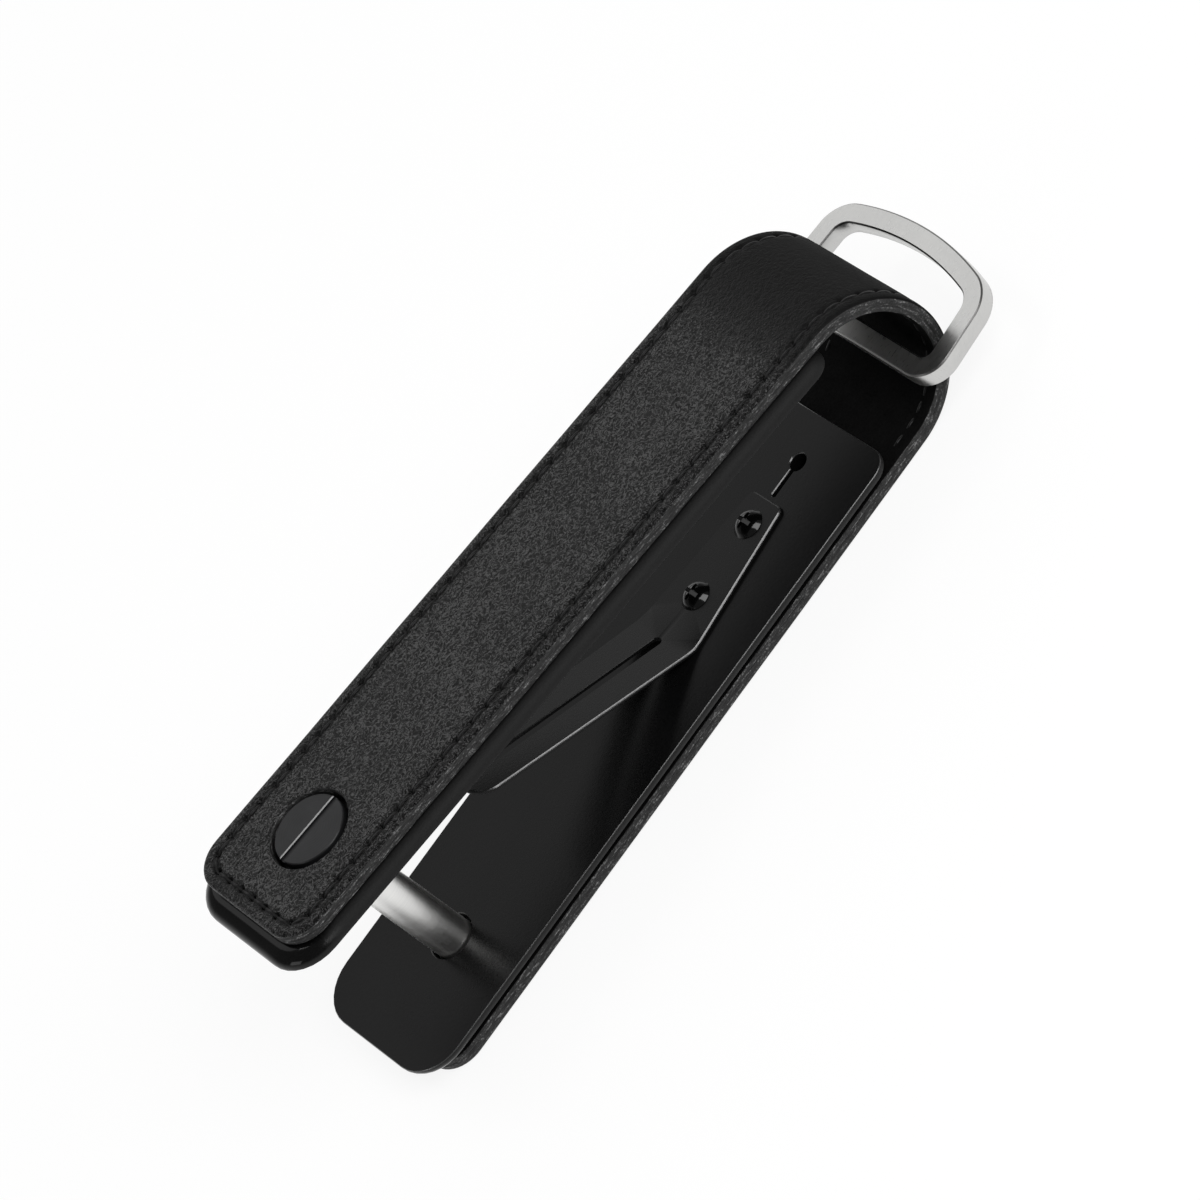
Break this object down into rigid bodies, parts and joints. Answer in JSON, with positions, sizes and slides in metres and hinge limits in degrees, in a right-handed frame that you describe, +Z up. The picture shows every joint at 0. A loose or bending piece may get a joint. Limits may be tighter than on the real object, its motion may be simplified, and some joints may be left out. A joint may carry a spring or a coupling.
{
  "type": "key organizer",
  "caption": "Folded leather strap with stiffening plates that holds keys on a post closed by a slotted screw, quietened by a leaf spring, with a flat ring in its fold.",
  "frame": {"origin": "middle of the bounding box, on the surface the lower arm lies on", "axes": "+X from the post end to the ring, +Y across the strap, +Z up, from the lower arm to the upper arm"},
  "size_m": [0.1086, 0.0286, 0.0308],
  "materials": {
    "hide": "pebbled",
    "lining": "matte",
    "plate": "satin",
    "leaf": "satin",
    "black_screw": "gloss",
    "clamp_head": "satin",
    "bright_steel": "brushed"
  },
  "bodies": {
    "lower_arm": {"lower_outer_leather": "hide", "lower_lining": "lining", "fold_outer_leather": "hide", "fold_lining": "lining", "lower_plate": "plate", "barrel_post": "bright_steel", "leaf_base": "leaf", "leaf_screw_ring_side": "black_screw", "leaf_screw_post_side": "black_screw"},
    "upper_arm": {"upper_outer_leather": "hide", "upper_lining": "lining", "upper_plate": "plate"},
    "screw": {"clamp_screw": "clamp_head"},
    "tongue": {"leaf_tongue": "leaf"},
    "d_ring": {"ring": "bright_steel"}
  },
  "joints": [
    {"name": "strap_open", "type": "hinge", "parent": "lower_arm", "child": "upper_arm", "pos_m": [0.035, 0, 0.01125], "axis": [0, 1, 0], "range_deg": [0, 45], "deforming": ["fold_outer_leather", "fold_lining"]},
    {"name": "screw_turn", "type": "hinge", "parent": "upper_arm", "child": "screw", "pos_m": [-0.03912, 0, 0.02969], "axis": [0.0958, 0, 0.9954], "continuous": true},
    {"name": "leaf_press", "type": "hinge", "parent": "lower_arm", "child": "tongue", "pos_m": [0.0016, 0, 0.00395], "axis": [0, 1, 0], "range_deg": [-22, 0], "stiffness_Nm_per_rad": 0.4},
    {"name": "ring_swing", "type": "hinge", "parent": "lower_arm", "child": "d_ring", "pos_m": [0.04055, 0, 0.00795], "axis": [0, 1, 0], "range_deg": [-40, 100]}
  ]
}
